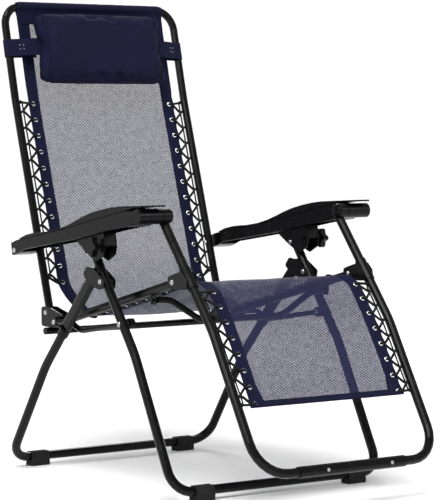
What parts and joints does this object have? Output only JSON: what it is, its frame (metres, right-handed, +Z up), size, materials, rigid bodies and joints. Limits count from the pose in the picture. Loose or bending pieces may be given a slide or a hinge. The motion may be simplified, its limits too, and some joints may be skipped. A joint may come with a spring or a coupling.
{
  "type": "zero gravity recliner",
  "caption": "Folding lounge chair of black steel tube with a laced grey mesh sling, navy headrest pillow, wave-topped armrests with recline locks and a scissor leg stand.",
  "frame": {"origin": "on the floor, under the middle of the chair's bounding box in the upright pose", "axes": "+Z up; X across the chair, +X to the sitter's left; the sitter faces -Y"},
  "size_m": [0.668, 1.0338, 1.1097],
  "materials": {
    "frame_paint": "satin black powder coat",
    "black_plastic": "satin moulded plastic",
    "foot_rubber": "matte moulded rubber, ribbed",
    "bolt_steel": "zinc plated, slightly worn",
    "mesh_fabric": "woven grey polyester mesh with navy side bands",
    "navy_fabric": "woven navy polyester"
  },
  "bodies": {
    "front_legs": {"front_leg_frame": "frame_paint", "front_foot_pad_right": "foot_rubber", "front_foot_pad_left": "foot_rubber", "scissor_bolt_right": "bolt_steel", "scissor_bolt_left": "bolt_steel"},
    "rear_legs": {"rear_leg_frame": "frame_paint", "rear_leg_bar_right": "frame_paint", "rear_leg_bar_left": "frame_paint", "rear_leg_collar_right": "black_plastic", "rear_leg_collar_left": "black_plastic", "scissor_bracket_right": "frame_paint", "scissor_bracket_left": "frame_paint", "rear_foot_pad_right": "foot_rubber", "rear_foot_pad_left": "foot_rubber"},
    "link_bolts": {"link_front_bolt_right": "bolt_steel", "link_front_bolt_left": "bolt_steel"},
    "recline_links": {"recline_link_right": "frame_paint", "recline_link_left": "frame_paint", "link_rear_bolt_right": "bolt_steel", "link_rear_bolt_left": "bolt_steel"},
    "seat": {"seat_rail_right": "frame_paint", "seat_rail_left": "frame_paint", "rear_bracket_right": "frame_paint", "rear_bracket_left": "frame_paint", "brace_lug_right": "frame_paint", "brace_lug_left": "frame_paint", "rear_cross_tube": "frame_paint", "seat_brace": "frame_paint", "seat_sling": "mesh_fabric"},
    "back_bolts": {"back_bolt_right": "bolt_steel", "back_bolt_left": "bolt_steel"},
    "back": {"back_frame": "frame_paint", "back_sling": "mesh_fabric", "headrest_pillow": "navy_fabric"},
    "knee_bolts": {"knee_bolt_right": "bolt_steel", "knee_bolt_left": "bolt_steel"},
    "leg_rest": {"leg_frame": "frame_paint", "leg_collar_right": "black_plastic", "leg_collar_left": "black_plastic", "knee_sleeve_right": "frame_paint", "knee_sleeve_left": "frame_paint", "knee_bracket_right": "frame_paint", "knee_bracket_left": "frame_paint", "foot_sleeve": "black_plastic", "leg_sling": "mesh_fabric"},
    "armrest_bolts": {"armrest_bolt_right": "bolt_steel", "armrest_bolt_left": "bolt_steel"},
    "armrests": {"armrest_channel_right": "black_plastic", "armrest_channel_left": "black_plastic", "armrest_pad_right": "black_plastic", "armrest_pad_left": "black_plastic"},
    "lock_bolts": {"lock_bolt_right": "bolt_steel", "lock_bolt_left": "bolt_steel"},
    "lock_brackets": {"lock_bracket_right": "black_plastic", "lock_bracket_left": "black_plastic"},
    "knob_right": {"lock_knob_right": "black_plastic"},
    "knob_left": {"lock_knob_left": "black_plastic"}
  },
  "joints": [
    {"name": "recline", "type": "hinge", "parent": "recline_links", "child": "seat", "pos_m": [0, 0.243, 0.3587], "axis": [-1, 0, 0], "range_deg": [0, 5.7], "deforming": ["seat_sling"]},
    {"name": "fold", "type": "hinge", "parent": "front_legs", "child": "rear_legs", "pos_m": [0, 0.0045, 0.467], "axis": [-1, 0, 0], "range_deg": [0, 72]},
    {"name": "link_recline", "type": "hinge", "parent": "front_legs", "child": "link_bolts", "pos_m": [0, -0.0618, 0.376], "axis": [-1, 0, 0], "range_deg": [0, 9.35]},
    {"name": "link_fold", "type": "hinge", "parent": "link_bolts", "child": "recline_links", "pos_m": [0, -0.0618, 0.376], "axis": [-1, 0, 0], "range_deg": [-0.5, 80.1]},
    {"name": "back_recline", "type": "hinge", "parent": "seat", "child": "back_bolts", "pos_m": [0, 0.3005, 0.3765], "axis": [-1, 0, 0], "range_deg": [0, 19.6]},
    {"name": "back_fold", "type": "hinge", "parent": "back_bolts", "child": "back", "pos_m": [0, 0.3005, 0.3765], "axis": [-1, 0, 0], "range_deg": [-60.1, 0]},
    {"name": "knee_recline", "type": "hinge", "parent": "seat", "child": "knee_bolts", "pos_m": [0, -0.2115, 0.4755], "axis": [-1, 0, 0], "range_deg": [0, 19.6]},
    {"name": "knee_fold", "type": "hinge", "parent": "knee_bolts", "child": "leg_rest", "pos_m": [0, -0.2115, 0.4755], "axis": [-1, 0, 0], "range_deg": [-60.1, 0], "deforming": ["leg_sling"]},
    {"name": "armrest_recline", "type": "hinge", "parent": "back", "child": "armrest_bolts", "pos_m": [0, 0.347, 0.5225], "axis": [-1, 0, 0], "range_deg": [-19.6, 0]},
    {"name": "armrest_fold", "type": "hinge", "parent": "armrest_bolts", "child": "armrests", "pos_m": [0, 0.347, 0.5225], "axis": [-1, 0, 0], "range_deg": [0, 60.1]},
    {"name": "lock_recline", "type": "hinge", "parent": "front_legs", "child": "lock_bolts", "pos_m": [0, 0.0535, 0.535], "axis": [-1, 0, 0], "range_deg": [0, 15.1]},
    {"name": "lock_fold", "type": "hinge", "parent": "lock_bolts", "child": "lock_brackets", "pos_m": [0, 0.0535, 0.535], "axis": [-1, 0, 0], "range_deg": [0, 80.1]},
    {"name": "lock_knob_turn_right", "type": "hinge", "parent": "lock_brackets", "child": "knob_right", "pos_m": [-0.3265, 0.00464, 0.54602], "axis": [-1, 0, 0], "range_deg": [0, 180]},
    {"name": "lock_knob_turn_left", "type": "hinge", "parent": "lock_brackets", "child": "knob_left", "pos_m": [0.3265, 0.00464, 0.54602], "axis": [1, 0, 0], "range_deg": [0, 180]}
  ],
  "couplings": [
    {"joint": "link_recline", "follows": "recline", "ratio": 1.6313},
    {"joint": "back_recline", "follows": "recline", "ratio": 3.4209},
    {"joint": "knee_recline", "follows": "recline", "ratio": 3.4209},
    {"joint": "armrest_recline", "follows": "recline", "ratio": -3.4209},
    {"joint": "lock_recline", "follows": "recline", "ratio": 2.6313},
    {"joint": "link_fold", "follows": "fold", "ratio": 1.1111},
    {"joint": "back_fold", "follows": "fold", "ratio": -0.83333},
    {"joint": "knee_fold", "follows": "fold", "ratio": -0.83333},
    {"joint": "armrest_fold", "follows": "fold", "ratio": 0.83333},
    {"joint": "lock_fold", "follows": "fold", "ratio": 1.1111}
  ]
}
